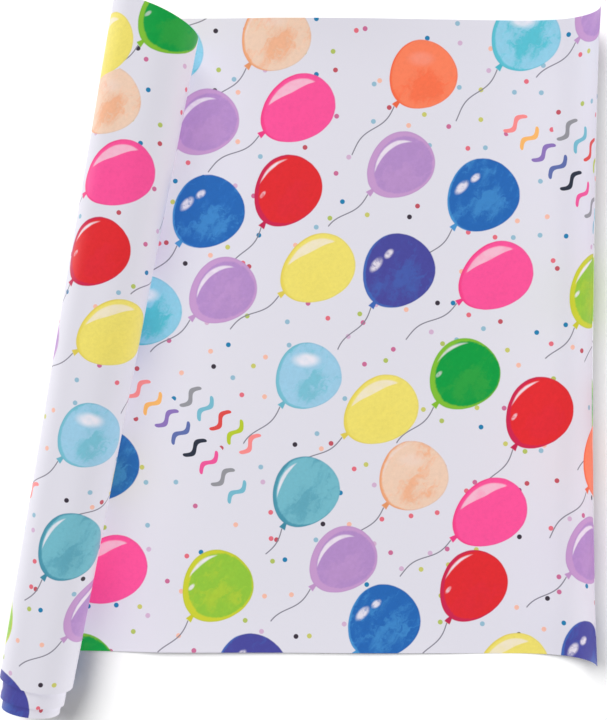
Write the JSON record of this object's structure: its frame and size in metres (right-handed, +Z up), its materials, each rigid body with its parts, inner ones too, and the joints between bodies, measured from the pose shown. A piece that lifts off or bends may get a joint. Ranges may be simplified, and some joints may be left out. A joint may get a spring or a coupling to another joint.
{
  "type": "wrapping paper roll",
  "caption": "Roll of printed gift wrap, loosely wound on a cardboard core and partly unrolled, with its free edge curling up.",
  "frame": {"origin": "on the table under the flat part of the web, midway across the web's width; Z = 0 is the underside of the web", "axes": "+X from the roll to the free edge, +Y along the width of the web towards the roll's oblique end, +Z up from the table"},
  "size_m": [0.6377, 0.7635, 0.0973],
  "materials": {
    "printed_paper": "smooth, slight sheen, printed",
    "core_board": "matt greyboard",
    "clear_tape": "glossy"
  },
  "bodies": {
    "sheet": {"flat_sheet": "printed_paper"},
    "free_end": {"free_edge": "printed_paper"},
    "lead_in": {"lead_in_strip": "printed_paper"},
    "outer_coil": {"outer_turn": "printed_paper"},
    "second_coil": {"second_turn": "printed_paper"},
    "inner_coil": {"third_turn": "printed_paper", "fourth_turn": "printed_paper", "fifth_turn": "printed_paper", "inner_turn": "printed_paper", "core_outer_ply": "core_board", "core_inner_ply": "core_board", "start_tape": "clear_tape"}
  },
  "joints": [
    {"name": "roll_travel", "type": "slide", "parent": "sheet", "child": "lead_in", "axis": [1, 0, 0], "range_m": [-0.1, 0.18]},
    {"name": "roll_spin", "type": "hinge", "parent": "lead_in", "child": "outer_coil", "pos_m": [-0.219, 0, 0.04513], "axis": [0.1736, 0.9847, 0.0119], "range_deg": [-135, 240]},
    {"name": "second_telescope", "type": "slide", "parent": "outer_coil", "child": "second_coil", "axis": [-0.1736, -0.9847, -0.0119], "range_m": [-0.02, 0.05]},
    {"name": "inner_telescope", "type": "slide", "parent": "second_coil", "child": "inner_coil", "axis": [-0.1736, -0.9847, -0.0119], "range_m": [-0.01, 0.025]},
    {"name": "free_edge_lift", "type": "hinge", "parent": "sheet", "child": "free_end", "pos_m": [0.229, 0, 0.0003], "axis": [0, -1, 0], "range_deg": [0, 60]}
  ],
  "couplings": [
    {"joint": "roll_spin", "follows": "roll_travel", "rad_per_m": 22.51},
    {"joint": "inner_telescope", "follows": "second_telescope", "ratio": 0.5}
  ]
}
